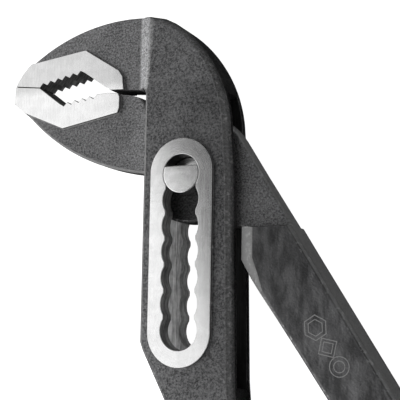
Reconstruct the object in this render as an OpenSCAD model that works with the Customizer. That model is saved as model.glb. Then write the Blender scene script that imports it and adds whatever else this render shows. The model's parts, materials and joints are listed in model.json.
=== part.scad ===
// Tongue and groove pliers with a pass-through joint, lying on their back.
// +Y runs along the adjustment slot towards the head, +X towards the inner handle and +Z up to
// the front face. The origin is on the pin's axis, in the plane of the rear lands.

/* [Joint] */
// Distance from one stop of the slot to the next
pitch = 6.1; // [5.8:0.1:6.3]
// Number of stops in the slot
stops = 7; // [5:1:7]
// Radius of each stop's lobe
lobe_r = 4.65; // [4.5:0.05:4.8]
// Half of the slot's width between two stops
slot_half = 3.9; // [3.7:0.1:4.2]
// Radial clearance of the pin in its lobe and in its bore
pin_clearance = 0.05; // [0.02:0.01:0.1]
// Distance from the pin's axis to its flats
pin_flat = 1.9; // [1.5:0.1:2.5]
// Radius of the inner lever's round hub below the pin
hub_r = 11.2; // [10.8:0.1:11.4]
// Radius of the inner lever's shoulder above the pin
shoulder_r = 15.7; // [15.4:0.1:15.9]

/* [Thicknesses] */
// Thickness over the ground lands around the slot
land_t = 14.4; // [13.6:0.2:15.2]
// Height of each ground land above the forging
land_h = 0.8; // [0.5:0.1:1]
// Width of the window between the two cheeks
window_t = 5.8; // [5.6:0.1:6.2]
// Clearance between the inner lever and each cheek
window_clearance = 0.15; // [0.1:0.05:0.3]
// Thickness over the ground jaw faces
jaw_t = 7.3; // [6.9:0.1:8]
// Thickness of the inner lever's handle
handle_t = 11.2; // [10:0.2:12]
// Thickness of both handles inside their grips
tang_t = 8; // [7:0.5:9]

/* [Jaws] */
// Gap between the closed jaws along their noses
jaw_gap = 0.15; // [0.1:0.05:0.3]
// Number of teeth on the upper jaw
upper_teeth = 6; // [5:1:7]
// Number of teeth on the lower jaw
lower_teeth = 5; // [4:1:6]
// Depth of each tooth
tooth_depth = 0.9; // [0.6:0.1:1]

/* [Handles] */
// Width of both handles at their far ends
tang_w = 10.5; // [9:0.5:12]
// Width of a grip at its waist
grip_w = 19; // [18:0.5:20]
// Thickness of a grip's side wall above and below its core's step
grip_step = 2.2; // [1.5:0.1:3]
// Width of the soft inlay in each face of a grip
inlay_w = 11; // [9:0.5:12]
// Depth of the soft inlay in the hard grip
inlay_depth = 1.2; // [0.8:0.1:1.6]

/* [Hidden] */
$fn = 96;
eps = 0.01;
mid = land_t / 2;
cheek_t = land_t - 2 * land_h;
plate_t = window_t - 2 * window_clearance;
pin_r = lobe_r - pin_clearance;
travel = (stops - 1) * pitch;

// places on the outer lever
land_r = 8.05;
land_rise = 0.5;
cheek_x = -10.6;
ramp_foot = -13.8;
ramp_head = -9.0;
head_c = [-17.8, -7.9];
head_r = 49.1;
crown_c = [-23.4, 9.2];
crown_r = 34.9;
under_y = 22.1;

// places on the inner lever
belly_c = [-5.8, 57.9];
belly_r = 56.9;
guard_x = 14.2;
guard_y = -12.8;

// the corners of the jaws' mouth
mouth_left = [-43, 25.65];
mouth_top = [-29.5, 28.2];
mouth_right = [-22, 23.1];
mouth_low = [-36.7, 20.8];

// the centre lines of the handles, each a cubic curve
outer_path = [[4.5, -50], [12.8, -86], [44.5, -143], [66.4, -187.8]];
inner_path = [[24.5, -23.3], [52.5, -64.7], [89.5, -126], [107.2, -166.2]];
outer_grip_from = 0.26;
inner_grip_from = 0.34;

// points on an arc about c, from angle a to angle b
function arc(c, r, a, b, n = 12) =
    [for (i = [0:n]) c + r * [cos(a + (b - a) * i / n), sin(a + (b - a) * i / n)]];

// tooth tips from p to q with roots to the left of that line, without the last tip
function teeth(p, q, n, depth) =
    let (d = (q - p) / norm(q - p), left = [-d.y, d.x])
    [for (i = [0:n - 1], half = [0, 0.5]) p + (q - p) * (i + half) / n + left * depth * half * 2];

// a point on a handle's centre line, and the unit direction there
function along(path, t) = pow(1 - t, 3) * path[0] + 3 * pow(1 - t, 2) * t * path[1]
    + 3 * (1 - t) * t * t * path[2] + pow(t, 3) * path[3];
function heading(path, t) =
    let (d = pow(1 - t, 2) * (path[1] - path[0]) + 2 * (1 - t) * t * (path[2] - path[1])
        + t * t * (path[3] - path[2]))
    d / norm(d);

// a point w / 2 to one side of the centre line: 1 is the left side, -1 the right
function beside(path, t, w, side) =
    let (d = heading(path, t)) along(path, t) + side * w / 2 * [-d.y, d.x];

// the shape of width(t) laid along a path between two of its t
module ribbon(path, from, to, width, n = 28) {
    ts = [for (i = [0:n]) from + (to - from) * (1 - pow(1 - i / n, 1.7))];
    polygon(concat(
        [for (t = ts) beside(path, t, width(t), 1)],
        [for (i = [n:-1:0]) beside(path, ts[i], width(ts[i]), -1)]));
}

// the handles' widths, and a rounded end over the last stretch of a path
function end_round(t, start) = t < start ? 1 : sqrt(max(0.01, 1 - pow((t - start) / (1 - start), 2)));
outer_w = function(t) (tang_w + 1.5 * (1 - t) + 5.6 * pow(1 - t, 8)) * end_round(t, 0.975);
inner_w = function(t) (tang_w + 3.7 * pow(1 - t, 2)) * end_round(t, 0.975);

// a grip's width: a guard at its start, a waist, a palm swell and a flared end
function grip_form(u) = grip_w + 3.4 * exp(-pow(u / 0.07, 2)) + 1.6 * pow(sin(180 * u), 2)
    + 1.8 * exp(-pow((u - 0.95) / 0.09, 2));
function grip_width(t, from, inset) =
    (grip_form((t - from) / (1 - from)) - 2 * inset) * end_round(t, 0.93);

module slab(from, to) {
    translate([0, 0, from]) linear_extrude(to - from) children();
}

// a slab centred on the tool's middle plane
module centred(t) {
    slab(mid - t / 2, mid + t / 2) children();
}

// the outline of the upper jaw, the head and both cheeks
module outer_outline() {
    polygon(concat(
        [[-50.5, 26.6], mouth_left],
        teeth(mouth_left, mouth_top, upper_teeth, tooth_depth),
        [mouth_top, mouth_right, [-18.5, 22.8], [cheek_x, under_y], [cheek_x, -39.4],
         [-9.9, -41.2]],
        [beside(outer_path, 0.01, outer_w(0.01), -1), beside(outer_path, 0.01, outer_w(0.01), 1),
         [12.2, 0]],
        arc(crown_c, crown_r, 7, 55, 14),
        [[-6, 39.2]],
        arc(head_c, head_r, 84, 124, 14),
        [[-46.6, 31.7], [-48.4, 29.8], [-49.8, 27.9]]));
}

// the part of the tool that is thin at the upper jaw: left of a ramp up to the cheek
module jaw_relief() {
    rise = (cheek_t - plate_t) / 2;
    top = mid + cheek_t / 2;
    for (flip = [0, 1])
        translate([0, 0, flip * 2 * mid])
            mirror([0, 0, flip])
                translate([0, 60, 0])
                    rotate([90, 0, 0])
                        linear_extrude(60 - under_y)
                            polygon([[-60, top - rise], [ramp_foot, top - rise],
                                     [ramp_head, top + eps], [ramp_head, top + 5], [-60, top + 5]]);
}

// the opening between the cheeks that the inner lever passes through and swings in
module window_outline() {
    sweep_r = hub_r + 0.5;
    foot_y = -travel - 16.4;
    left = cheek_x - 20;
    right = 20;
    polygon(concat(
        [[left, under_y], [cheek_x, under_y], [-7.6, 20.4]],
        arc([0, 0], shoulder_r + 0.6, 118, 107, 4),
        [[right, 22.8], [right, -51], [2, -travel - sweep_r]],
        arc([0, -travel], sweep_r, 270, 252, 4),
        [[-5.5, foot_y], [left, foot_y]]));
}

// the slot's outline: a lobe for each stop, joined by a narrower channel
module slot_outline() {
    for (i = [0:stops - 1]) translate([0, -i * pitch]) circle(lobe_r);
    translate([-slot_half, -travel]) square([2 * slot_half, travel]);
}

module stadium(r, length) {
    circle(r);
    translate([0, -length]) circle(r);
    translate([-r, -length]) square([2 * r, length]);
}

// keeps a handle within its thickness, which falls from t to tang_t between y0 and y1
module thickness_profile(t, y0, y1) {
    translate([-80, 0, mid])
        rotate([90, 0, 90])
            linear_extrude(260)
                polygon([[60, -t / 2], [60, t / 2], [y0, t / 2], [y1, tang_t / 2],
                         [-260, tang_t / 2], [-260, -tang_t / 2], [y1, -tang_t / 2], [y0, -t / 2]]);
}

module outer_handle() {
    intersection() {
        centred(cheek_t) ribbon(outer_path, 0, 1, outer_w);
        thickness_profile(cheek_t, -53.2, -84);
    }
}

module inner_handle() {
    intersection() {
        centred(handle_t) ribbon(inner_path, 0, 1, inner_w);
        thickness_profile(handle_t, -50, -76);
    }
}

module outer_pad_outline() {
    intersection() {
        outer_outline();
        polygon([[-60, 30.4], [-45.2, 32.3], [-29.5, 34.2], [-19.6, 27.9], [-18.5, 26.3],
                 [-18.1, 22.9], [-18.1, 15], [-60, 15]]);
    }
}

module outer_lever() {
    color([0.28, 0.28, 0.29]) {
        difference() {
            union() {
                centred(cheek_t) outer_outline();
                outer_handle();
                slab(0, land_t) translate([0, land_rise]) stadium(land_r, travel + 2 * land_rise);
            }
            jaw_relief();
            centred(window_t) window_outline();
            slab(-1, land_t + 1) slot_outline();
        }
        centred(jaw_t) outer_pad_outline();
    }
}

// the outline of the lower jaw, the hub and the shoulder
module inner_outline() {
    drop = [0, -jaw_gap];
    polygon(concat(
        [[-50.6, 26.6] + drop, [-50.9, 21.9], [-48.2, 19.85]],
        arc(belly_c, belly_r, 225, 264, 16),
        arc([0, 0], hub_r, 176, 280, 18),
        [[guard_x, guard_y], [guard_x, -20.4], [16.8, -24.8]],
        [beside(inner_path, 0.01, inner_w(0.01), -1), beside(inner_path, 0.01, inner_w(0.01), 1)],
        arc([0, 0], shoulder_r, 32, 118, 14),
        [[-11.2, 15.4], [-11.9, 17.6], [-12.4, 19.1], [-13.5, 20.4], [-15.9, 21.2],
         [-20.1, 22], [-22.3, 22.4]],
        teeth([-25.8, 22.3], mouth_low, lower_teeth, tooth_depth),
        [mouth_low, mouth_left + drop]));
}

module inner_pad_outline() {
    intersection() {
        inner_outline();
        polygon([[-60, 24.5], [-47.1, 19.1], [-35.7, 14.3], [-19.7, 17.1], [-19.2, 18.3],
                 [-19.2, 21.1], [-20.1, 23], [-20.1, 40], [-60, 40]]);
    }
}

module inner_lever() {
    color([0.24, 0.24, 0.25])
        difference() {
            union() {
                centred(plate_t) inner_outline();
                centred(jaw_t) inner_pad_outline();
                centred(handle_t)
                    intersection() {
                        inner_outline();
                        translate([guard_x, -60]) square([60, 60 + guard_y]);
                    }
                inner_handle();
            }
            slab(-1, land_t + 1) circle(lobe_r);
        }
}

// a round pin with a flat cut on the part that lies in each cheek
module pivot_pin() {
    flat_from = mid + plate_t / 2;
    color([0.8, 0.8, 0.8])
        difference() {
            cylinder(r = pin_r, h = land_t);
            for (z = [-eps, flat_from])
                translate([-pin_r, pin_flat, z])
                    cube([2 * pin_r, pin_r, land_t - flat_from + eps]);
        }
}

// the outer shape of a grip: a full middle and narrower flat faces
module grip_shell(path, from) {
    waist = function(t) grip_width(t, from, 0);
    face = function(t) grip_width(t, from, grip_step);
    slab(0, land_t) ribbon(path, from, 1, face);
    slab(grip_step, land_t - grip_step) ribbon(path, from, 1, waist);
}

// the soft bands, one let into each face of a grip, clear of its guard and its end
module inlays(path, from) {
    start = from + 0.13 * (1 - from);
    band = function(t) inlay_w;
    for (z = [0, land_t - inlay_depth])
        slab(z, z + inlay_depth) ribbon(path, start, 0.92, band, 16);
}

module hard_grip(path, from) {
    difference() {
        grip_shell(path, from);
        inlays(path, from);
    }
}

module outer_grip() {
    color([0.12, 0.12, 0.13])
        difference() {
            hard_grip(outer_path, outer_grip_from);
            outer_handle();
        }
}

module inner_grip() {
    color([0.12, 0.12, 0.13])
        difference() {
            hard_grip(inner_path, inner_grip_from);
            inner_handle();
        }
}

module outer_grip_inlay() {
    color([0.35, 0.35, 0.36]) inlays(outer_path, outer_grip_from);
}

module inner_grip_inlay() {
    color([0.35, 0.35, 0.36]) inlays(inner_path, inner_grip_from);
}

outer_lever();
inner_lever();
pivot_pin();
outer_grip();
inner_grip();
outer_grip_inlay();
inner_grip_inlay();
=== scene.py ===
"""Finished looks for tongue and groove pliers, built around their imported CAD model.

The tool lies on its back on the floor: +Y runs along the slot towards the head, +X towards the
inner handle and +Z up to the front face. Lengths are in metres.
"""

import json
import math

import bmesh
import bpy
from bpy.props import FloatProperty, FloatVectorProperty, IntProperty, PointerProperty
from mathutils import Euler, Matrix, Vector


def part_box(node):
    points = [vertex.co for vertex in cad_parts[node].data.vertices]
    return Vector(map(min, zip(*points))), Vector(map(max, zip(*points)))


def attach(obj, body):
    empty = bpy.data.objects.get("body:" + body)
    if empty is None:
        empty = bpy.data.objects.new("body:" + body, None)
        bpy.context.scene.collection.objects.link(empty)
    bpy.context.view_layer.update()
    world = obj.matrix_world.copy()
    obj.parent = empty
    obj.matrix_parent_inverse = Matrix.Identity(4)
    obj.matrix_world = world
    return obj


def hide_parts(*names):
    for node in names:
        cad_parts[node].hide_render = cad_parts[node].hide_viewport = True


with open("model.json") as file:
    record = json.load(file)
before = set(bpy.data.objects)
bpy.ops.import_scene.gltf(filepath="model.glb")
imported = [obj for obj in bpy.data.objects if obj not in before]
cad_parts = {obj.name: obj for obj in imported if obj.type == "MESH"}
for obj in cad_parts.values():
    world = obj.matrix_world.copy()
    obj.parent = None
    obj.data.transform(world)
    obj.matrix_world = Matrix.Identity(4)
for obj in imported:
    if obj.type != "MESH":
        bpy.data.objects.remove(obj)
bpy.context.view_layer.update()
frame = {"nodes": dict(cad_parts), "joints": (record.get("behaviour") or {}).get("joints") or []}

bl_info = {
    "name": "Tongue and Groove Pliers",
    "version": (1, 0, 0),
    "blender": (4, 5, 0),
    "location": "3D View > Sidebar > Pliers",
    "description": "Builds forged levers, a ground pin, moulded grips and a studio around the CAD model",
    "category": "Object",
}

MM = 0.001
MID = (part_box("outer_lever")[0].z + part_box("outer_lever")[1].z) / 2
LAND_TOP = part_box("outer_lever")[1].z
HANDLE_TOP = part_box("inner_lever")[1].z
TRAVEL = next(j["range_m"][1] for j in frame["joints"] if j["type"] == "slide")
LAND_RISE = 0.5 * MM
FINE_EDGE = 0.1 * MM

# Levels of the levers, in millimetres from the middle of their thickness. Each lies just under
# the faces that it is named for.
LAND_LEVEL = 6.9
LAND_FOOT_LEVEL = 6.2
CHEEK_LEVEL = 6
HANDLE_LEVEL = 3.9

# places on the levers, in millimetres
LAND_REACH = 8.4
JAW_RIGHT = -14
RAMP_LEFT, RAMP_RIGHT, RAMP_FOOT = -14.0, -8.8, 21.9
MOUTH_LEFT, MOUTH_LOW, MOUTH_HIGH = -44.5, 19, 29.5

# the size of a normal's z on a face that counts as level, and on one that counts as upright
LEVEL = 0.7
UPRIGHT = 0.2

# the centre lines of the handles, and where along them each grip starts
OUTER_PATH = [Vector(p) * MM for p in ((4.5, -50), (12.8, -86), (44.5, -143), (66.4, -187.8))]
INNER_PATH = [Vector(p) * MM for p in ((24.5, -23.3), (52.5, -64.7), (89.5, -126), (107.2, -166.2))]
OUTER_GRIP_FROM = 0.26
INNER_GRIP_FROM = 0.34


# ---------------------------------------------------------------- settings


def length(name, description, default, low=0.0, high=0.05):
    """A length in metres, shown in the scene's unit."""
    return FloatProperty(name=name, description=description, default=default, min=low, max=high,
                         precision=5, subtype="DISTANCE", unit="LENGTH")


def colour(name, description, default):
    """A linear colour."""
    return FloatVectorProperty(name=name, description=description, default=default, size=3,
                               min=0.0, max=1.0, subtype="COLOR")


def factor(name, description, default, high=1.0):
    """A plain number from 0 up."""
    return FloatProperty(name=name, description=description, default=default, min=0.0, max=high,
                         subtype="FACTOR")


class ForgingSettings(bpy.types.PropertyGroup):
    """Edges of the two forged levers."""

    rim: length("Rim", "Width of the rounding along the head and the handles", 1.5 * MM)
    rim_stretch: factor("Rim stretch", "Height of that rounding over its width", 1.45, 3.0)
    cheek_edge: length("Cheek edge", "Radius of the cheek's edge over the lower jaw", 0.8 * MM)
    ramp_edge: length("Ramp edge", "Radius at the head of the jaw's ramp", 1.0 * MM)
    jaw_rim: length("Jaw rim", "Radius along the lower jaw's back", 0.64 * MM)
    handle_rim: length("Handle rim", "Rounding along the thick inner handle", 0.9 * MM)
    handle_edge: length("Handle edge", "Rounding along the outer handle's left edge", 0.8 * MM)
    step_edge: length("Step edge", "Rounding of the step up to the inner handle", 0.35 * MM)
    ground_edge: length("Ground edge", "Radius of the edges left by grinding", 0.14 * MM)
    fillet: length("Fillet", "Radius at the foot of the raised lands and pads", 0.25 * MM)
    guard: length("Guard chamfer", "Extra width of the chamfer on the inner handle's guard", 2.5 * MM)
    segments: IntProperty(name="Segments", description="Faces across each rounding", default=3,
                          min=1, max=6)


class FinishSettings(bpy.types.PropertyGroup):
    """Colours and roughness of the finishes."""

    outer_steel: colour("Outer forging", "Blasted dark steel", (0.19, 0.19, 0.193))
    inner_steel: colour("Inner forging", "Blasted dark steel", (0.2, 0.2, 0.203))
    handle_steel: colour("Inner handle", "Darker, rubbed steel of the thick handle",
                         (0.115, 0.115, 0.117))
    ground_steel: colour("Ground steel", "Bright ground faces", (0.83, 0.83, 0.83))
    pin_steel: colour("Pin steel", "Turned face of the pin", (0.92, 0.92, 0.92))
    cut_steel: colour("Cut steel", "Milled walls of the slot and the teeth", (0.36, 0.36, 0.36))
    milled_steel: colour("Milled steel", "Inside of the outer lever's window", (0.42, 0.42, 0.42))
    hard_grip: colour("Hard grip", "Moulded hard plastic", (0.022, 0.022, 0.024))
    soft_grip: colour("Soft grip", "Soft inlay", (0.13, 0.13, 0.135))
    mark: colour("Etched mark", "Lines etched on the inner handle", (0.42, 0.42, 0.42))


class GripSettings(bpy.types.PropertyGroup):
    """Sizes of the moulded grips."""

    waist: length("Waist", "Width of a grip at its waist", 19 * MM)
    guard: length("Guard", "How much wider the guard is", 3.4 * MM)
    swell: length("Swell", "How much wider the palm swell is", 1.6 * MM)
    flare: length("Flare", "How much wider the far end is", 1.8 * MM)
    end_cap: length("End cap", "Length of the rounded end past the lever", 2.2 * MM)
    inlay_depth: length("Inlay depth", "Depth of the recess for the soft inlay", 1.0 * MM)
    rib_depth: length("Rib depth", "Depth of the grooves across the inlay", 0.4 * MM)
    stations: IntProperty(name="Stations", description="Sections along each grip", default=84,
                          min=24, max=200)


class StageSettings(bpy.types.PropertyGroup):
    """The floor, the lights and the camera."""

    floor_size: length("Floor size", "Radius of the floor", 2.4, 0.5, 10)
    focal: FloatProperty(name="Focal length", description="Camera lens", default=90.0, min=10,
                         max=300, subtype="DISTANCE_CAMERA")
    key: factor("Key", "Radiance of the large soft light on the left", 1.13, 10)
    fill: factor("Fill", "Radiance of the weak light on the right", 0.35, 10)
    top: factor("Top", "Radiance of the light overhead", 0.12, 10)
    sky: factor("Sky", "Radiance of the sky overhead", 0.01, 10)
    horizon: factor("Horizon", "Radiance of the sky just over the horizon", 0.4, 10)


# ---------------------------------------------------------------- mesh helpers


def new_object(name, bm, materials, body, cad_nodes):
    """Turns a bmesh into a finished piece that rides on a body and stands for CAD nodes."""
    mesh = bpy.data.meshes.new(name)
    bm.to_mesh(mesh)
    bm.free()
    for material in materials:
        mesh.materials.append(material)
    piece = bpy.data.objects.new(name, mesh)
    bpy.context.scene.collection.objects.link(piece)
    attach(piece, body)
    if cad_nodes:
        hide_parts(*cad_nodes)
    return piece


def merged_copy(node, cut_y):
    """A CAD node's shape with its loose triangles joined into whole faces.

    One cut at cut_y runs through the holes, so that every flat face is a single outline.
    """
    bm = bmesh.new()
    bm.from_mesh(frame["nodes"][node].data)
    bmesh.ops.remove_doubles(bm, verts=bm.verts, dist=0.012 * MM)
    everything = [*bm.verts, *bm.edges, *bm.faces]
    bmesh.ops.bisect_plane(bm, geom=everything, dist=0.0001 * MM, plane_co=(0, cut_y, 0),
                           plane_no=(0, 1, 0))
    inner = [e for e in bm.edges if e.calc_face_angle() < math.radians(0.4)
             and max(abs(v.co.y - cut_y) for v in e.verts) > 0.001 * MM]
    bmesh.ops.dissolve_edges(bm, edges=inner, use_verts=True)
    level = [e for e in bm.edges if abs(e.verts[0].co.z - e.verts[1].co.z) < 0.01 * MM
             and not near_slot(middle(e), 9)]
    bmesh.ops.dissolve_degenerate(bm, dist=0.3 * MM, edges=level)
    return bm


def weld_ramp_ends(bm):
    """Draws the lower end of each ramp up to the corner of its cheek."""
    corner_y, reach = 22, 0.3
    left, right = -11.2, -8.5
    above_plate = 4 * MM
    for side in (-1, 1):
        near = [v for v in bm.verts if abs(v.co.y / MM - corner_y) < reach
                and left < v.co.x / MM < right and side * (v.co.z - MID) > above_plate]
        corner = min(near, key=lambda v: (round(v.co.x / MM, 1), -side * v.co.z))
        bmesh.ops.pointmerge(bm, verts=near, merge_co=corner.co.copy())


def weighted_bevel(bm, width_of, segments, stretch=1.0):
    """Rounds each sharp edge by its own width. Stretch makes every rounding taller than wide."""
    weight = bm.edges.layers.float.new("bevel_weight_edge")
    widths = {}
    for edge in bm.edges:
        if len(edge.link_faces) == 2 and edge.calc_face_angle() > math.radians(24):
            width = width_of(edge)
            if width > 0:
                widths[edge] = width
    widest = max(widths.values())
    for edge, width in widths.items():
        edge[weight] = width / widest
    squeeze = Vector((1, 1, 1 / stretch))
    bmesh.ops.scale(bm, vec=squeeze, verts=bm.verts)
    mesh = bpy.data.meshes.new("rounding")
    bm.to_mesh(mesh)
    holder = bpy.data.objects.new("rounding", mesh)
    bpy.context.scene.collection.objects.link(holder)
    bevel = holder.modifiers.new("Bevel", "BEVEL")
    bevel.limit_method = "WEIGHT"
    bevel.width = widest
    bevel.segments = segments
    bevel.use_clamp_overlap = False
    bevel.miter_outer = "MITER_SHARP"
    evaluated = holder.evaluated_get(bpy.context.evaluated_depsgraph_get())
    bm.clear()
    bm.from_mesh(evaluated.to_mesh())
    evaluated.to_mesh_clear()
    bpy.data.objects.remove(holder)
    bpy.data.meshes.remove(mesh)
    bmesh.ops.scale(bm, vec=Vector((1, 1, stretch)), verts=bm.verts)


def shade(bm, sharp_angle=35):
    """Smooth shading, with edges over the angle kept sharp."""
    for face in bm.faces:
        face.smooth = True
    for edge in bm.edges:
        edge.smooth = len(edge.link_faces) != 2 or edge.calc_face_angle() < math.radians(sharp_angle)


def weigh_normals(piece):
    """Keeps large flat faces flat next to their small roundings."""
    modifier = piece.modifiers.new("Flat faces", "WEIGHTED_NORMAL")
    modifier.keep_sharp = True
    modifier.mode = "FACE_AREA"
    modifier.weight = 60


def middle(item):
    """The centre of an edge or a face, in millimetres."""
    if isinstance(item, bmesh.types.BMEdge):
        return (item.verts[0].co + item.verts[1].co) / (2 * MM)
    return item.calc_center_median() / MM


def near_slot(place, radius):
    """True for a point in millimetres that is within radius of the slot's centre line."""
    y = min(max(place.y, -TRAVEL / MM - LAND_RISE / MM), LAND_RISE / MM)
    return math.hypot(place.x, place.y - y) < radius


def facing(edge):
    """How level the flatter of an edge's two faces is, and how level the other one is."""
    levels = sorted((abs(f.normal.z) for f in edge.link_faces), reverse=True)
    return levels[0], levels[1]


def side_normal(edge):
    """The normal of the steeper of an edge's two faces."""
    return min(edge.link_faces, key=lambda f: abs(f.normal.z)).normal


def on_ramp(place):
    """True on the slope between the upper jaw's plate and the head."""
    return place.y > RAMP_FOOT and RAMP_LEFT < place.x < RAMP_RIGHT


def in_mouth(place, right):
    """True between the jaws, where the toothed faces keep their sharp edges."""
    return MOUTH_LEFT < place.x < right and MOUTH_LOW < place.y < MOUTH_HIGH


# ---------------------------------------------------------------- levers


def outer_edge_width(edge, s):
    """The rounding of an edge of the outer lever. It changes only where a run of edges turns."""
    place = middle(edge)
    height = abs(place.z - MID / MM)
    flat, steep = facing(edge)
    run = edge.verts[1].co - edge.verts[0].co
    if near_slot(place, LAND_REACH):
        if height > LAND_LEVEL:
            return s.ground_edge
        return s.fillet if height > LAND_FOOT_LEVEL and not edge.is_convex else FINE_EDGE
    # the two long edges of the ramp: its head at the cheek and its foot at the plate
    if on_ramp(place) and flat > LEVEL and steep > 0.6 and abs(run.y) > abs(run.x):
        return s.ramp_edge if height > 5 else s.ramp_edge * 0.4
    if not edge.is_convex:
        return s.fillet if place.x < JAW_RIGHT and height > 2.7 else 0.0
    if flat < LEVEL or steep > UPRIGHT:
        return 0.0
    # the short ends of the ramp: at the crown, and over the lower jaw
    if on_ramp(place):
        return s.ramp_edge * 0.6 if place.y > 30 else 0.2 * MM
    crown_or_handle_end = place.y > 34 or place.y < -187
    if height > HANDLE_LEVEL and (crown_or_handle_end or side_normal(edge).x > 0):
        return s.rim
    if height > HANDLE_LEVEL and place.y < -40:
        return s.handle_edge
    if height > CHEEK_LEVEL:
        return s.cheek_edge
    # the upper jaw: its ground pad, then its back
    if place.x < JAW_RIGHT and height > 3.4:
        return s.ground_edge
    if place.x < -13.7 and place.y > 26.8:
        return s.jaw_rim * 0.5
    return 0.0 if in_mouth(place, -20) else 0.16 * MM


def inner_edge_width(edge, s):
    """The rounding of an edge of the inner lever. It changes only where a run of edges turns."""
    place = middle(edge)
    height = abs(place.z - MID / MM)
    flat, steep = facing(edge)
    if flat < LEVEL or steep > UPRIGHT:
        return 0.0
    # the edge of the pin's hole
    if math.hypot(place.x, place.y) < 5:
        return FINE_EDGE
    if not edge.is_convex:
        return s.fillet if place.x < JAW_RIGHT else 0.0
    # the thick handle: the step up to it, then its long edges
    if height > 3.8:
        return s.step_edge if place.y > -12.9 and place.x < 25 else s.handle_rim
    # the lower jaw's ground pad
    if place.x < -18 and height > 3.3:
        return s.ground_edge
    return 0.0 if in_mouth(place, -13) else s.jaw_rim


def mark_wear_and_painted_light(bm, is_inner):
    """Marks the narrow faces of the roundings as worn, and how far each face is painted brighter:
    painted highlights, painted reflections and a slight rub.
    """
    worn = bm.faces.layers.float.new("worn")
    # painted highlights and painted reflections, with a slight rub, kept on each face
    rub_and_painted_light = bm.faces.layers.float.new("rub_and_painted_light")
    widest = 2.4 * MM
    largest = 60 * MM * MM
    for face in bm.faces:
        narrow = min(e.calc_length() for e in face.edges) < widest and face.calc_area() < largest
        slanted = narrow and 0.08 < abs(face.normal.z) < 0.985
        face[worn] = 1.0 if slanted else 0.0
        face[rub_and_painted_light] = how_painted_light_and_rubbed(middle(face), face.normal, slanted, is_inner)


def how_painted_light_and_rubbed(place, normal, slanted, is_inner):
    """How far a face is painted brighter, from 0 to 1: painted highlights and painted reflections on
    chosen faces, and a slight even rub on the other roundings.
    """
    # the chamfer on the guard: a painted highlight, as a broad light would give it
    on_handle = is_inner and place.y < -12.6 and place.x > 12
    if slanted and on_handle and normal.x < -0.1 and place.x < 22:
        return 1.0
    # the right side of the inner lever: a painted reflection of the pale floor
    if is_inner and normal.x > 0.3 and place.x > 5:
        return 0.6 if slanted else 0.5
    # the left edges of the cheek and the lower jaw's back: painted edge highlights
    if slanted and place.x < -8 and place.y < 22:
        return 1.0
    # the right edge of the outer lever: a faint painted highlight
    if slanted and normal.x > 0.1 and not is_inner and place.y < 20:
        return 0.3
    # every other rounding: a slight even rub
    return 0.15 if slanted else 0.0


def assign_steel(bm, slot_wall_radius):
    """Gives each face its steel, by the index of its material in the lever's list.

    0 is the forging, 1 the ground faces, 2 the cut walls and 3 the inside of the window.
    """
    forging, ground, cut, milled = range(4)
    for face in bm.faces:
        place = middle(face)
        height = abs(place.z - MID / MM)
        level = abs(face.normal.z)
        face.material_index = forging
        if near_slot(place, 8.6) and height > 6.95:
            face.material_index = ground
        elif place.x < -17.6 and place.y > 14 and 3.48 < height < 3.75:
            face.material_index = ground
        elif near_slot(place, slot_wall_radius) and level < 0.5:
            face.material_index = cut
        elif slot_wall_radius > 0 and level > 0.5 and height < 3.0 and place.x > -13.5:
            face.material_index = milled
        elif -44 < place.x < -21 and 19.5 < place.y < 29 and level < 0.4:
            face.material_index = cut


class PLIERS_OT_outer_lever(bpy.types.Operator):
    """Builds the outer lever with its upper jaw, its two cheeks and the slot's ground lands"""

    bl_idname = "pliers.outer_lever"
    bl_label = "Outer lever"

    def execute(self, context):
        s = context.scene.pliers_forging
        finish = context.scene.pliers_finish
        bm = merged_copy("outer_lever", -TRAVEL / 2)
        weld_ramp_ends(bm)
        weighted_bevel(bm, lambda e: outer_edge_width(e, s), s.segments, s.rim_stretch)
        mark_wear_and_painted_light(bm, False)
        assign_steel(bm, slot_wall_radius=5.2)
        shade(bm)
        materials = [forged_steel("forged_steel_outer", finish.outer_steel, None),
                     ground_steel(), cut_steel(), milled_steel()]
        piece = new_object("outer_lever_forging", bm, materials, "outer", ["outer_lever"])
        weigh_normals(piece)
        return {"FINISHED"}


class PLIERS_OT_inner_lever(bpy.types.Operator):
    """Builds the inner lever with its lower jaw, its hub and its thick handle"""

    bl_idname = "pliers.inner_lever"
    bl_label = "Inner lever"

    def execute(self, context):
        s = context.scene.pliers_forging
        finish = context.scene.pliers_finish
        bm = merged_copy("inner_lever", 0)
        weighted_bevel(bm, lambda e: inner_edge_width(e, s), s.segments, 1.25)
        widen_guard(bm, s.guard)
        bm.normal_update()
        mark_wear_and_painted_light(bm, True)
        assign_steel(bm, slot_wall_radius=0.0)
        shade(bm)
        materials = [forged_steel("forged_steel_inner", finish.inner_steel, finish.handle_steel),
                     ground_steel(), cut_steel()]
        piece = new_object("inner_lever_forging", bm, materials, "inner", ["inner_lever"])
        weigh_normals(piece)
        return {"FINISHED"}


def widen_guard(bm, extra):
    """Draws the top of the guard's rounding inwards, so that it becomes a broad shallow chamfer."""
    foot, top = 4.4, 5.6
    guard_end, fading = -28, 6
    for vert in bm.verts:
        x, y, z = vert.co / MM
        height = abs(z - MID / MM)
        if height < 4.45 or not guard_end < y < -12.5 or x > 20:
            continue
        rise = (height - foot) / (top - foot)
        fade = min(max((y - guard_end) / fading, 0), 1)
        vert.co.x += extra * fade * min(max(rise, 0), 1)


class PLIERS_OT_pin(bpy.types.Operator):
    """Builds the pivot pin with its chamfered, turned faces"""

    bl_idname = "pliers.pin"
    bl_label = "Pivot pin"

    def execute(self, context):
        bm = merged_copy("pivot_pin", 0)
        weighted_bevel(bm, lambda e: 0.22 * MM if e.is_convex else FINE_EDGE, 2)
        shade(bm)
        piece = new_object("pivot_pin_ground", bm, [pin_steel()], "pin_carriage", ["pivot_pin"])
        weigh_normals(piece)
        return {"FINISHED"}


# ---------------------------------------------------------------- grips


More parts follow.
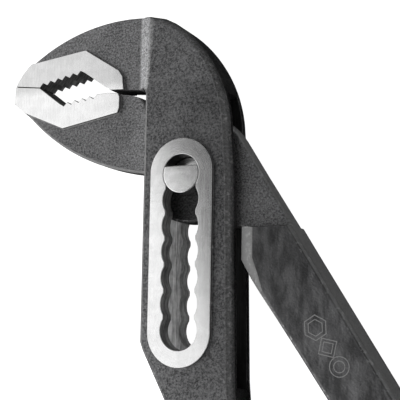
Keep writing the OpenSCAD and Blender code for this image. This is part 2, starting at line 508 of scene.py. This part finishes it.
def along(path, t):
    """A point on a handle's centre line."""
    a, b, c, d = path
    return a * (1 - t) ** 3 + b * 3 * (1 - t) ** 2 * t + c * 3 * (1 - t) * t * t + d * t ** 3


def heading(path, t):
    """The unit direction of a handle's centre line."""
    a, b, c, d = path
    way = (b - a) * (1 - t) ** 2 + (c - b) * 2 * (1 - t) * t + (d - c) * t * t
    return way.normalized()


def power(value, exponent):
    """A signed power, for a rounded rectangle's outline."""
    return math.copysign(abs(value) ** exponent, value)


# points round a grip, and how square its section is
RING = 48
SECTION = 3.3

# the stretch of a grip that its soft inlays fill, from 0 at its guard to 1 at its end
INLAY_FROM = 0.125
INLAY_TO = 0.885


def place_ring(ring, path, t, half_width, half_height, exponent, ahead=0.0):
    """Lays a ring of points round a handle's centre line as a rounded rectangle."""
    way = heading(path, min(t, 1))
    centre = along(path, min(t, 1)) + way * ahead
    side = Vector((way.y, -way.x))
    for i, vert in enumerate(ring):
        angle = 2 * math.pi * i / len(ring)
        across = half_width * power(math.cos(angle), 2 / exponent)
        up = half_height * power(math.sin(angle), 2 / exponent)
        flat = centre + side * across
        vert.co = (flat.x, flat.y, MID + up)


def first_ring(bm):
    """A ring of loose edges, in order."""
    return bmesh.ops.create_circle(bm, cap_ends=False, segments=RING, radius=MM)["verts"]


def next_ring(bm, ring):
    """Extrudes a ring and returns the new one, in the same order."""
    edges = [bm.edges.get((ring[i - 1], ring[i])) for i in range(len(ring))]
    made = bmesh.ops.extrude_edge_only(bm, edges=edges)["geom"]
    fresh = {v for v in made if isinstance(v, bmesh.types.BMVert)}
    return [next(e.other_vert(v) for e in v.link_edges if e.other_vert(v) in fresh) for v in ring]


def grip_width(u, g):
    """The width of a grip at u, from 0 at its guard to 1 at its end."""
    return (g.waist + g.guard * math.exp(-((u / 0.07) ** 2)) + g.swell * math.sin(math.pi * u) ** 2
            + g.flare * math.exp(-(((u - 0.95) / 0.09) ** 2)))


def lever_section(path, t):
    """Half the width and half the thickness of the lever inside its grip, as the CAD has them."""
    y = along(path, t).y / MM
    end_width, end_thickness = 10.5, 8
    if path is OUTER_PATH:
        width = end_width + 1.5 * (1 - t) + 5.6 * (1 - t) ** 8
        thickness, taper_from, taper = 12.8, -53.2, 30.8
    else:
        width = end_width + 3.7 * (1 - t) ** 2
        thickness, taper_from, taper = 11.2, -50, 26
    thickness += (end_thickness - thickness) * min(max((taper_from - y) / taper, 0), 1)
    return width * MM / 2, thickness * MM / 2


def grip_rings(bm, path, start, g):
    """Lofts a grip's outer skin and returns its rings, each with its u."""
    rings = []
    ring = first_ring(bm)
    half = LAND_TOP / 2
    # the rounded front edge: u, and the width and height there over the grip's full ones
    nose = ((0.0, 0.80, 0.72), (0.0015, 0.93, 0.88), (0.006, 0.985, 0.965))
    # where the rounded end begins
    last = 0.955
    body = [(nose[-1][0] + (last - nose[-1][0]) * (i + 1) / g.stations, 1.0, 1.0)
            for i in range(g.stations)]
    for u, wide, tall in (*nose, *body):
        t = start + (1 - start) * u
        place_ring(ring, path, t, grip_width(u, g) / 2 * wide, half * tall, SECTION)
        rings.append((u, ring))
        ring = next_ring(bm, ring)
    reach = (1 - last) * (1 - start)
    steps = 9
    run = (along(path, 1) - along(path, 1 - reach)).length + g.end_cap
    t_last = start + (1 - start) * last
    for i in range(1, steps + 1):
        turn = math.pi / 2 * i / steps
        shrink = max(math.cos(turn) ** 0.8, 0.04)
        place_ring(ring, path, t_last, grip_width(last, g) / 2 * shrink,
                   half * max(math.cos(turn) ** 0.55, 0.12), SECTION,
                   run * math.sin(turn))
        rings.append((1.0, ring))
        if i < steps:
            ring = next_ring(bm, ring)
    bmesh.ops.contextual_create(bm, geom=ring)
    return rings


def inlay_region(rings):
    """The faces of the front and rear bands that the soft inlay fills, station by station."""
    low = RING * 9 // 48
    high = RING // 2 - low
    columns = [range(low, high), range(RING // 2 + low, RING // 2 + high)]
    found = [[], []]
    for (u0, a), (u1, b) in zip(rings, rings[1:]):
        if not (u0 > INLAY_FROM and u1 < INLAY_TO):
            continue
        for which, column in enumerate(columns):
            for i in column:
                corners = {a[i], a[(i + 1) % RING], b[i], b[(i + 1) % RING]}
                found[which].append(next(f for f in a[i].link_faces if set(f.verts) == corners))
    return found


def hollow(bm, rings, path, start):
    """Opens the grip's front end and lines it with a pocket for the lever."""
    ring = next_ring(bm, rings[0][1])
    lined = 26
    pocket_end = 0.985
    squareness = 9
    clearance = 0.03 * MM
    for i in range(lined + 1):
        t = start + (pocket_end - start) * i / lined
        half_width, half_height = lever_section(path, t)
        place_ring(ring, path, t, half_width + clearance, half_height + clearance, squareness)
        if i < lined:
            ring = next_ring(bm, ring)
    bmesh.ops.contextual_create(bm, geom=ring)


def build_grip(name, path, start, body, node, g):
    """One hard grip: a lofted skin with a recess in each face and a pocket for its lever."""
    bm = bmesh.new()
    rings = grip_rings(bm, path, start, g)
    bands = inlay_region(rings)
    hollow(bm, rings, path, start)
    side_groove = 0.32 * MM
    for i, (u, ring) in enumerate(rings):
        if 0.2 < u < 0.86 and i % 4 < 2:
            for k in range(-4, 5):
                for base in (0, RING // 2):
                    vert = ring[(base + k) % RING]
                    inward = side_groove * math.cos(k * math.pi / 10)
                    way = heading(path, start + (1 - start) * u)
                    side = Vector((way.y, -way.x, 0)) * (1 if base == 0 else -1)
                    vert.co -= side * inward
    bmesh.ops.recalc_face_normals(bm, faces=bm.faces)
    for faces in bands:
        bmesh.ops.inset_region(bm, faces=faces, thickness=0.22 * MM, depth=-g.inlay_depth,
                               use_even_offset=True)
    shade(bm, 50)
    new_object(name, bm, [moulded_plastic()], body, [node])


def build_inlay(name, path, start, body, node, g):
    """One grip's pair of soft inlays, ribbed across, that fill the recesses."""
    bm = bmesh.new()
    rings = grip_rings(bm, path, start, g)
    bands = inlay_region(rings)
    kept = {f for faces in bands for f in faces}
    bmesh.ops.recalc_face_normals(bm, faces=bm.faces)
    rim_drop = 0.28 * MM
    sunk = 0.45 * MM
    ribbed = set()
    for i, (u, ring) in enumerate(rings):
        if 0.16 < u < 0.85 and i % 3 == 0:
            ribbed.update(ring)
    bmesh.ops.delete(bm, geom=[f for f in bm.faces if f not in kept], context="FACES")
    rim = {v for e in bm.edges if e.is_boundary for v in e.verts}
    for vert in bm.verts:
        up = 1 if vert.co.z > MID else -1
        if vert in rim:
            vert.co.z -= up * rim_drop
        elif vert in ribbed:
            vert.co.z -= up * g.rib_depth
    faces = list(bm.faces)
    below = bmesh.ops.extrude_face_region(bm, geom=faces, use_keep_orig=True)["geom"]
    lower = [v for v in below if isinstance(v, bmesh.types.BMVert)]
    for vert in lower:
        up = 1 if vert.co.z > MID else -1
        vert.co.z -= up * (g.inlay_depth - sunk)
    bmesh.ops.recalc_face_normals(bm, faces=bm.faces)
    shade(bm, 50)
    new_object(name, bm, [soft_rubber()], body, [node])


class PLIERS_OT_grips(bpy.types.Operator):
    """Builds the two hard moulded grips"""

    bl_idname = "pliers.grips"
    bl_label = "Hard grips"

    def execute(self, context):
        g = context.scene.pliers_grip
        build_grip("outer_grip_moulding", OUTER_PATH, OUTER_GRIP_FROM, "outer", "outer_grip", g)
        build_grip("inner_grip_moulding", INNER_PATH, INNER_GRIP_FROM, "inner", "inner_grip", g)
        return {"FINISHED"}


class PLIERS_OT_inlays(bpy.types.Operator):
    """Builds the soft ribbed inlays of the two grips"""

    bl_idname = "pliers.inlays"
    bl_label = "Soft inlays"

    def execute(self, context):
        g = context.scene.pliers_grip
        build_inlay("outer_grip_soft_inlay", OUTER_PATH, OUTER_GRIP_FROM, "outer",
                    "outer_grip_inlay", g)
        build_inlay("inner_grip_soft_inlay", INNER_PATH, INNER_GRIP_FROM, "inner",
                    "inner_grip_inlay", g)
        return {"FINISHED"}


# ---------------------------------------------------------------- etched mark


def outline(bm, centre, turn, sides, radius, line):
    """A thin closed outline with the given number of sides, lying on the handle's face."""
    ring = bmesh.ops.create_circle(bm, cap_ends=True, segments=sides, radius=radius)["verts"]
    face = next(f for f in ring[0].link_faces)
    inset = bmesh.ops.inset_region(bm, faces=[face], thickness=line, use_boundary=True,
                                   use_even_offset=True)["faces"]
    verts = list({v for f in (*inset, face) for v in f.verts})
    bmesh.ops.rotate(bm, verts=verts, cent=(0, 0, 0), matrix=Euler((0, 0, turn)).to_matrix())
    bmesh.ops.translate(bm, verts=verts, vec=centre)
    bmesh.ops.delete(bm, geom=[face], context="FACES_ONLY")
    raised = bmesh.ops.extrude_face_region(bm, geom=inset, use_keep_orig=True)["geom"]
    tops = [v for v in raised if isinstance(v, bmesh.types.BMVert)]
    bmesh.ops.translate(bm, verts=tops, vec=(0, 0, 0.03 * MM))


class PLIERS_OT_etched_mark(bpy.types.Operator):
    """Builds a plain row of outlined shapes etched on the inner handle"""

    bl_idname = "pliers.etched_mark"
    bl_label = "Etched mark"

    def execute(self, context):
        bm = bmesh.new()
        level = HANDLE_TOP - 0.012 * MM
        t = 0.095
        t_per_mm = 0.0058
        between_lines = 0.95
        shapes = ((6, 2.9, 5.4), (4, 2.6, 5.0), (24, 2.3, 5.0))
        for sides, radius, step in shapes:
            point = along(INNER_PATH, t)
            way = heading(INNER_PATH, t)
            turn = math.atan2(way.y, way.x)
            place = Vector((point.x, point.y, level)) + Vector((way.y, -way.x, 0)) * 0.2 * MM
            outline(bm, place, turn, sides, radius * MM, 0.22 * MM)
            outline(bm, place, turn, sides, (radius - between_lines) * MM, 0.2 * MM)
            t += step * t_per_mm
        bmesh.ops.recalc_face_normals(bm, faces=bm.faces)
        new_object("handle_mark", bm, [etched_line()], "inner", [])
        return {"FINISHED"}


# ---------------------------------------------------------------- materials

# steel painted brighter as painted highlights and painted reflections, and slightly rubbed, and steel
# where handling has worn it in patches
RUB_AND_PAINTED_LIGHT_GREY = (0.3, 0.3, 0.3)
WORN_GREY = (0.42, 0.42, 0.42)


class Shader:
    """A material's nodes, on object coordinates in millimetres."""

    def __init__(self, name):
        self.material = bpy.data.materials.new(name)
        self.material.use_nodes = True
        self.tree = self.material.node_tree
        self.surface = self.tree.nodes["Principled BSDF"]
        place = self.node("ShaderNodeTexCoord")
        self.mm = self.mapped(place.outputs["Object"], scale=(1000, 1000, 1000))
        self.axes = self.node("ShaderNodeSeparateXYZ")
        self.tree.links.new(self.mm, self.axes.inputs[0])

    def node(self, kind, **settings):
        """Adds a node with these settings."""
        made = self.tree.nodes.new(kind)
        for key, value in settings.items():
            setattr(made, key, value)
        return made

    def feed(self, socket, value):
        """Links an output to a socket, or sets the socket to a constant."""
        if isinstance(value, bpy.types.NodeSocket):
            self.tree.links.new(value, socket)
        elif value is not None:
            socket.default_value = value

    def mapped(self, vector, scale):
        """Scales a pattern's coordinates."""
        made = self.node("ShaderNodeMapping")
        self.feed(made.inputs["Vector"], vector)
        made.inputs["Scale"].default_value = scale
        return made.outputs["Vector"]

    def noise(self, scale, detail, rough, stretch=(1, 1, 1), vector=None):
        """Cloudy noise with this many waves to a millimetre. A small stretch draws it out."""
        made = self.node("ShaderNodeTexNoise")
        self.feed(made.inputs["Vector"], self.mapped(vector or self.mm, scale=stretch))
        made.inputs["Scale"].default_value = scale
        made.inputs["Detail"].default_value = detail
        made.inputs["Roughness"].default_value = rough
        return made.outputs["Fac"]

    def cells(self, scale):
        """Distance from the middle of small rounded cells."""
        made = self.node("ShaderNodeTexVoronoi", feature="F1")
        self.feed(made.inputs["Vector"], self.mm)
        made.inputs["Scale"].default_value = scale
        return made.outputs["Distance"]

    def math(self, operation, a, b=None):
        """The result of one arithmetic operation."""
        made = self.node("ShaderNodeMath", operation=operation)
        for socket, value in zip(made.inputs, (a, b)):
            self.feed(socket, value)
        return made.outputs[0]

    def span(self, value, low, high, to_low=0.0, to_high=1.0):
        """Maps low..high smoothly to to_low..to_high."""
        made = self.node("ShaderNodeMapRange", interpolation_type="SMOOTHSTEP")
        for key, number in (("Value", value), ("From Min", low), ("From Max", high),
                            ("To Min", to_low), ("To Max", to_high)):
            self.feed(made.inputs[key], number)
        return made.outputs["Result"]

    def blend(self, amount, a, b, mode="MIX"):
        """Mixes two colours."""
        made = self.node("ShaderNodeMix", data_type="RGBA", blend_type=mode)
        sockets = [x for x in made.inputs if x.type == "RGBA"]
        self.feed(made.inputs["Factor"], amount)
        for socket, value in zip(sockets, (a, b)):
            if not isinstance(value, bpy.types.NodeSocket):
                value = (*value, 1.0) if hasattr(value, "__len__") else (value, value, value, 1.0)
            self.feed(socket, value)
        return next(x for x in made.outputs if x.type == "RGBA")

    def scaled(self, base, amount):
        """A colour times a factor that varies over the surface."""
        mix = self.node("ShaderNodeCombineXYZ")
        for socket in mix.inputs:
            self.feed(socket, amount)
        return self.blend(1.0, base, mix.outputs[0], "MULTIPLY")

    def attribute(self, name):
        """A number kept on the piece's faces."""
        return self.node("ShaderNodeAttribute", attribute_name=name).outputs["Fac"]

    def bump(self, height, depth_mm, strength, under=None):
        """A normal for relief of this depth, laid over another where one is given."""
        made = self.node("ShaderNodeBump")
        made.inputs["Strength"].default_value = strength
        made.inputs["Distance"].default_value = depth_mm * MM
        self.feed(made.inputs["Height"], height)
        self.feed(made.inputs["Normal"], under)
        return made.outputs["Normal"]

    def finish(self, colour, rough, metallic, normal=None):
        """Feeds the surface and returns the finished material."""
        for key, value in (("Base Color", colour), ("Roughness", rough), ("Metallic", metallic),
                           ("Normal", normal)):
            self.feed(self.surface.inputs[key], value)
        return self.material


def slot_distance(s):
    """Distance in millimetres from the centre line of the slot's stadium shape."""
    inside = s.math("MINIMUM", s.math("MAXIMUM", s.axes.outputs[1], -(TRAVEL + LAND_RISE) / MM),
                    LAND_RISE / MM)
    dy = s.math("SUBTRACT", s.axes.outputs[1], inside)
    square = s.math("ADD", s.math("MULTIPLY", dy, dy),
                    s.math("MULTIPLY", s.axes.outputs[0], s.axes.outputs[0]))
    return s.math("SQRT", square)


def forged_steel(name, base, handle):
    """Dark blasted steel: fine grain, pits, cloudy tone, worn and slightly rubbed edges, and painted
    light and shade on chosen places.
    """
    s = Shader(name)
    grain = s.noise(2.1, 4, 0.8)
    pits = s.cells(1.7)
    clouds = s.noise(0.11, 3, 0.6)
    x, y, z = s.axes.outputs
    tone = s.math("ADD", s.span(clouds, 0.3, 0.7, 0.86, 1.08), s.span(grain, 0.36, 0.64, -0.6, 0.6))
    steel = s.scaled(tuple(base), tone)
    if handle is None:
        # painted shade: a thin dark band just outside the ground lands, at their foot
        land_foot_painted_shade = s.span(slot_distance(s), 8.0, 8.35, 0.6, 1.0)
        steel = s.scaled(steel, land_foot_painted_shade)
        # painted highlight: the ramp made much brighter, and the upper jaw brighter towards its left end
        ramp = s.math("MULTIPLY", s.span(x, -14.0, -13.2), s.span(x, -10.6, -9.0, 1.0, 0.0))
        ramp = s.math("MULTIPLY", ramp, s.span(y, 21.0, 22.5))
        jaw = s.span(x, -16, -12, 1.4, 1.0)
        steel = s.scaled(steel, s.math("ADD", s.math("MULTIPLY", ramp, 2.2), jaw))
        # painted light and shade: the cheek darker towards its right and lighter towards the handle, up
        # to the jaws
        cheek = s.math("MULTIPLY", s.span(x, -4, 4, 1.0, 0.78), s.span(y, -45, 0, 1.15, 0.95))
        steel = s.scaled(steel, s.math("MAXIMUM", cheek, s.span(y, 15, 24)))
    else:
        blotch = s.noise(0.32, 4, 0.6, stretch=(1, 0.35, 1))
        handled = s.scaled(tuple(handle), s.span(blotch, 0.35, 0.68, 0.65, 1.6))
        height = s.math("ABSOLUTE", s.math("SUBTRACT", z, MID / MM))
        thick = s.math("GREATER_THAN", height, HANDLE_LEVEL)
        right = s.span(x, 12.8, 13.4)
        # painted shade: the hub, inside the outer lever's box, darkened to three tenths
        hub = s.span(s.math("ABSOLUTE", x), 9.5, 11.5, 0.3, 1.0)
        # painted light: the lower jaw made brighter, most towards its right
        jaw = s.span(x, -20, -9, 1.1, 1.6)
        plate = s.span(x, -9, 0, 1.0, 0.0)
        light = s.math("ADD", s.math("MULTIPLY", jaw, plate), s.math("SUBTRACT", 1.0, plate))
        steel = s.scaled(steel, s.math("MULTIPLY", hub, light))
        # painted light and shade: the thick handle lighter towards the grip and darker towards the hub
        handled = s.scaled(handled, s.span(y, -45, -15, 1.25, 0.8))
        steel = s.blend(s.math("MULTIPLY", thick, right), steel, handled)
    patches = s.span(s.noise(0.9, 4, 0.7), 0.52, 0.68, 0.0, 0.8)
    worn = s.math("MULTIPLY", s.attribute("worn"), patches)
    # painted highlights and painted reflections on chosen faces, with a slight rub on the other
    # roundings, blended towards a lighter grey
    rub_and_painted_light = s.attribute("rub_and_painted_light")
    steel = s.blend(rub_and_painted_light, steel, RUB_AND_PAINTED_LIGHT_GREY)
    steel = s.blend(worn, steel, WORN_GREY)
    rough = s.math("ADD", s.span(grain, 0.3, 0.7, 0.5, 0.62), s.math("MULTIPLY", worn, -0.15))
    coarse = s.bump(pits, 0.06, 0.7)
    fine = s.bump(grain, 0.07, 0.9, coarse)
    # metallic is lowered where faces are painted brighter, so that the floor's glow lights them
    # diffusely
    metallic = s.math("SUBTRACT", 1.0, s.math("MULTIPLY", rub_and_painted_light, 0.6))
    return s.finish(steel, rough, metallic, fine)


def ground_steel():
    """Bright surface-ground steel with grinding lines that follow the slot's lands, and painted shade on
    the upper jaw's pad.
    """
    made = bpy.data.materials.get("ground_steel")
    if made:
        return made
    s = Shader("ground_steel")
    around = s.node("ShaderNodeCombineXYZ")
    s.feed(around.inputs[0], slot_distance(s))
    s.feed(around.inputs[1], s.math("MULTIPLY", s.axes.outputs[1], 0.02))
    on_land = s.math("GREATER_THAN", s.axes.outputs[0], -15)
    lines = s.noise(7, 3, 0.7, vector=around.outputs[0])
    pad_lines = s.noise(4, 3, 0.7, stretch=(1, 0.06, 1))
    mixed = s.math("ADD", s.math("MULTIPLY", lines, on_land),
                   s.math("MULTIPLY", pad_lines, s.math("SUBTRACT", 1.0, on_land)))
    clouds = s.noise(0.35, 3, 0.6)
    tone = s.math("ADD", s.span(mixed, 0.3, 0.7, -0.06, 0.05), s.span(clouds, 0.3, 0.7, 0.93, 1.03))
    steel = s.scaled(tuple(bpy.context.scene.pliers_finish.ground_steel), tone)
    on_pad = s.math("SUBTRACT", 1.0, on_land)
    # painted shade: the upper jaw's ground pad made darker than the lower one
    upper_pad_painted_shade = s.math("MULTIPLY", s.span(s.axes.outputs[1], 23, 25.5), on_pad)
    steel = s.scaled(steel, s.math("SUBTRACT", 1.0, s.math("MULTIPLY", upper_pad_painted_shade, 0.22)))
    rough = s.span(mixed, 0.3, 0.7, 0.13, 0.17)
    return s.finish(steel, rough, 1.0, s.bump(mixed, 0.001, 0.5))


def pin_steel():
    """Turned steel with faint rings."""
    s = Shader("pin_steel")
    square = s.math("ADD", s.math("MULTIPLY", s.axes.outputs[0], s.axes.outputs[0]),
                    s.math("MULTIPLY", s.axes.outputs[1], s.axes.outputs[1]))
    radius = s.node("ShaderNodeCombineXYZ")
    s.feed(radius.inputs[0], s.math("SQRT", square))
    rings = s.noise(5, 3, 0.7, vector=radius.outputs[0])
    clouds = s.noise(0.5, 3, 0.6)
    tone = s.math("ADD", s.span(rings, 0.3, 0.7, -0.05, 0.04), s.span(clouds, 0.3, 0.7, 0.92, 1.04))
    steel = s.scaled(tuple(bpy.context.scene.pliers_finish.pin_steel), tone)
    return s.finish(steel, s.span(rings, 0.3, 0.7, 0.14, 0.2), 1.0, s.bump(rings, 0.001, 0.5))


def cut_steel():
    """Dark milled walls with tool marks through the thickness, and painted shade at the slot's upper end
    and on the teeth.
    """
    made = bpy.data.materials.get("cut_steel")
    if made:
        return made
    s = Shader("cut_steel")
    marks = s.noise(1.6, 4, 0.75, stretch=(0.12, 0.12, 1.0))
    clouds = s.noise(0.5, 3, 0.6)
    tone = s.math("MULTIPLY", s.span(marks, 0.35, 0.68, 0.45, 1.5), s.span(clouds, 0.3, 0.7, 0.8, 1.15))
    steel = s.scaled(tuple(bpy.context.scene.pliers_finish.cut_steel), tone)
    # painted shade: the walls darken almost to black above the pin, at the slot's upper end; the teeth's
    # walls, left of the slot, darken only to six tenths
    painted_shade_upwards = s.span(s.axes.outputs[1], 1.0, 3.5, 1.0, 0.06)
    on_lever = s.math("GREATER_THAN", s.axes.outputs[0], -15)
    steel = s.scaled(steel, s.math("MAXIMUM", painted_shade_upwards, s.math("SUBTRACT", 0.6, on_lever)))
    return s.finish(steel, s.span(marks, 0.3, 0.7, 0.42, 0.55), 0.5, s.bump(marks, 0.06, 0.8))


def milled_steel():
    """Inside of the window: streaked along the slot by the cutter, with painted shade towards its right.
    """
    s = Shader("milled_steel")
    streaks = s.noise(2.2, 4, 0.75, stretch=(1, 0.06, 1))
    clouds = s.noise(0.5, 3, 0.6)
    tone = s.math("MULTIPLY", s.span(streaks, 0.35, 0.65, 0.5, 1.4), s.span(clouds, 0.3, 0.7, 0.8, 1.15))
    steel = s.scaled(tuple(bpy.context.scene.pliers_finish.milled_steel), tone)
    # painted shade: the inside darkens almost to black towards its right, under the front cheek
    steel = s.scaled(steel, s.span(s.axes.outputs[0], 3, 5.5, 1.0, 0.05))
    return s.finish(steel, s.span(streaks, 0.3, 0.7, 0.42, 0.55), 0.3, s.bump(streaks, 0.05, 0.8))


def etched_line():
    """A pale matt line left by etching."""
    s = Shader("etched_line")
    specks = s.noise(6, 3, 0.7)
    line = s.scaled(tuple(bpy.context.scene.pliers_finish.mark), s.span(specks, 0.3, 0.7, 0.6, 1.15))
    return s.finish(line, 0.6, 0.5, s.bump(specks, 0.01, 0.5))


def moulded_plastic():
    """Dark moulded plastic with a fine eroded texture."""
    made = bpy.data.materials.get("moulded_plastic")
    if made:
        return made
    s = Shader("moulded_plastic")
    grain = s.noise(3.2, 3, 0.6)
    clouds = s.noise(0.08, 3, 0.6)
    tone = s.math("ADD", s.span(clouds, 0.3, 0.7, 0.85, 1.15), s.span(grain, 0.3, 0.7, -0.15, 0.15))
    plastic = s.scaled(tuple(bpy.context.scene.pliers_finish.hard_grip), tone)
    return s.finish(plastic, s.span(clouds, 0.3, 0.7, 0.42, 0.55), 0.0, s.bump(grain, 0.04, 0.7))


def soft_rubber():
    """Grey soft inlay: matt, with a fine leathery grain."""
    made = bpy.data.materials.get("soft_rubber")
    if made:
        return made
    s = Shader("soft_rubber")
    grain = s.cells(2.4)
    clouds = s.noise(0.15, 3, 0.6)
    tone = s.math("ADD", s.span(clouds, 0.3, 0.7, 0.88, 1.1), s.span(grain, 0.0, 0.6, -0.12, 0.08))
    rubber = s.scaled(tuple(bpy.context.scene.pliers_finish.soft_grip), tone)
    return s.finish(rubber, s.span(clouds, 0.3, 0.7, 0.72, 0.85), 0.0, s.bump(grain, 0.05, 0.6))


def glowing(name, grey, radiance):
    """An evenly lit studio surface with a faint cloudy tone."""
    s = Shader(name)
    tone = s.span(s.noise(0.004, 2, 0.5), 0.2, 0.8, 0.985, 1.0)
    paper = s.scaled((grey, grey, grey), tone)
    s.finish(paper, 0.9, 0.0)
    s.feed(s.surface.inputs["Emission Color"], paper)
    s.surface.inputs["Emission Strength"].default_value = radiance
    return s.material


# ---------------------------------------------------------------- stage

PAPER_GREY = 0.9
FLOOR_GLOW = 1.12
BACKDROP_GLOW = 1.05

# what the lights look at, and each one's direction from there, distance, width and height
AIM = Vector((0, -0.01, 0.007))
KEY = ((-0.773, -0.27, 0.574), 0.6, 1.4, 0.767)
FILL = ((0.98, 0.1, 0.12), 0.7, 1.2, 0.3)
TOP = ((0.12, 0.1, 1), 0.8, 0.9, 0.9)

CAMERA_PLACE = (0.10236, -0.0396, 0.22222)
CAMERA_DEGREES = (8.61543535, 24.94467461, 1.00080581)


def soft_light(name, direction, distance, wide, high, radiance):
    """A rectangular soft light that looks at the tool."""
    data = bpy.data.lights.new(name, "AREA")
    data.shape = "RECTANGLE"
    data.size = wide
    data.size_y = high
    data.energy = radiance * math.pi * wide * high
    lamp = bpy.data.objects.new(name, data)
    bpy.context.scene.collection.objects.link(lamp)
    back = Vector(direction).normalized()
    lamp.location = AIM + back * distance
    lamp.rotation_euler = back.to_track_quat("Z", "Y").to_euler()


def studio_sky(overhead, horizon):
    """A white sky that is dark below, bright just over the horizon and dim overhead."""
    world = bpy.data.worlds.new("studio")
    world.use_nodes = True
    tree = world.node_tree
    place = tree.nodes.new("ShaderNodeTexCoord")
    axes = tree.nodes.new("ShaderNodeSeparateXYZ")
    tree.links.new(place.outputs["Generated"], axes.inputs[0])
    levels = []
    rise = (0.0, 0.08, horizon)
    fall = (0.45, 0.75, horizon - overhead)
    for low, high, amount in (rise, fall):
        level = tree.nodes.new("ShaderNodeMapRange")
        level.interpolation_type = "SMOOTHSTEP"
        tree.links.new(axes.outputs[2], level.inputs["Value"])
        for key, number in (("From Min", low), ("From Max", high), ("To Min", 0), ("To Max", amount)):
            level.inputs[key].default_value = number
        levels.append(level.outputs["Result"])
    strength = tree.nodes.new("ShaderNodeMath")
    strength.operation = "SUBTRACT"
    for socket, level in zip(strength.inputs, levels):
        tree.links.new(level, socket)
    tree.nodes["Background"].inputs["Color"].default_value = (1, 1, 1, 1)
    tree.links.new(strength.outputs[0], tree.nodes["Background"].inputs["Strength"])
    return world


class PLIERS_OT_stage(bpy.types.Operator):
    """Builds the pale floor, the backdrop, the soft lights and the camera"""

    bl_idname = "pliers.stage"
    bl_label = "Stage"

    def execute(self, context):
        stage = context.scene.pliers_stage
        bm = bmesh.new()
        bmesh.ops.create_circle(bm, cap_ends=True, segments=64, radius=stage.floor_size)
        mesh = bpy.data.meshes.new("floor")
        bm.to_mesh(mesh)
        bm.free()
        mesh.materials.append(glowing("pale_floor", PAPER_GREY, FLOOR_GLOW))
        floor = bpy.data.objects.new("floor", mesh)
        bm = bmesh.new()
        bmesh.ops.create_uvsphere(bm, u_segments=64, v_segments=32, radius=stage.floor_size * 0.99)
        bmesh.ops.reverse_faces(bm, faces=bm.faces)
        mesh = bpy.data.meshes.new("backdrop")
        bm.to_mesh(mesh)
        bm.free()
        for polygon in mesh.polygons:
            polygon.use_smooth = True
        mesh.materials.append(glowing("pale_backdrop", PAPER_GREY, BACKDROP_GLOW))
        backdrop = bpy.data.objects.new("backdrop", mesh)
        for piece in (floor, backdrop):
            context.scene.collection.objects.link(piece)
            piece.visible_glossy = False
        backdrop.visible_diffuse = False
        backdrop.visible_shadow = False
        context.scene.world = studio_sky(stage.sky, stage.horizon)
        soft_light("key_light", *KEY, stage.key)
        soft_light("fill_light", *FILL, stage.fill)
        soft_light("top_light", *TOP, stage.top)
        camera_data = bpy.data.cameras.new("camera")
        camera_data.lens = stage.focal
        camera_data.sensor_width = 36
        camera_data.clip_start = 0.01
        camera_data.clip_end = 20
        camera = bpy.data.objects.new("camera", camera_data)
        context.scene.collection.objects.link(camera)
        camera.location = CAMERA_PLACE
        camera.rotation_euler = Euler([math.radians(angle) for angle in CAMERA_DEGREES])
        context.scene.camera = camera
        context.scene.view_settings.view_transform = "Standard"
        return {"FINISHED"}


# ---------------------------------------------------------------- add-on


STEPS = (PLIERS_OT_outer_lever, PLIERS_OT_inner_lever, PLIERS_OT_pin, PLIERS_OT_grips,
         PLIERS_OT_inlays, PLIERS_OT_etched_mark, PLIERS_OT_stage)


class PLIERS_PT_panel(bpy.types.Panel):
    """Lists the steps that build the pliers"""

    bl_idname = "PLIERS_PT_panel"
    bl_label = "Pliers"
    bl_space_type = "VIEW_3D"
    bl_region_type = "UI"
    bl_category = "Pliers"

    def draw(self, context):
        for step in STEPS:
            self.layout.operator(step.bl_idname)


GROUPS = {"pliers_forging": ForgingSettings, "pliers_finish": FinishSettings,
          "pliers_grip": GripSettings, "pliers_stage": StageSettings}


def register():
    """Adds the settings, the operators and the panel."""
    for name, group in GROUPS.items():
        bpy.utils.register_class(group)
        setattr(bpy.types.Scene, name, PointerProperty(type=group))
    for cls in (*STEPS, PLIERS_PT_panel):
        bpy.utils.register_class(cls)


def unregister():
    """Takes them away again."""
    for cls in reversed((*STEPS, PLIERS_PT_panel)):
        bpy.utils.unregister_class(cls)
    for name, group in reversed(GROUPS.items()):
        delattr(bpy.types.Scene, name)
        bpy.utils.unregister_class(group)


def main():
    """Builds everything in order."""
    register()
    for step in STEPS:
        group, name = step.bl_idname.split(".")
        getattr(getattr(bpy.ops, group), name)()


if __name__ == "__main__":
    main()
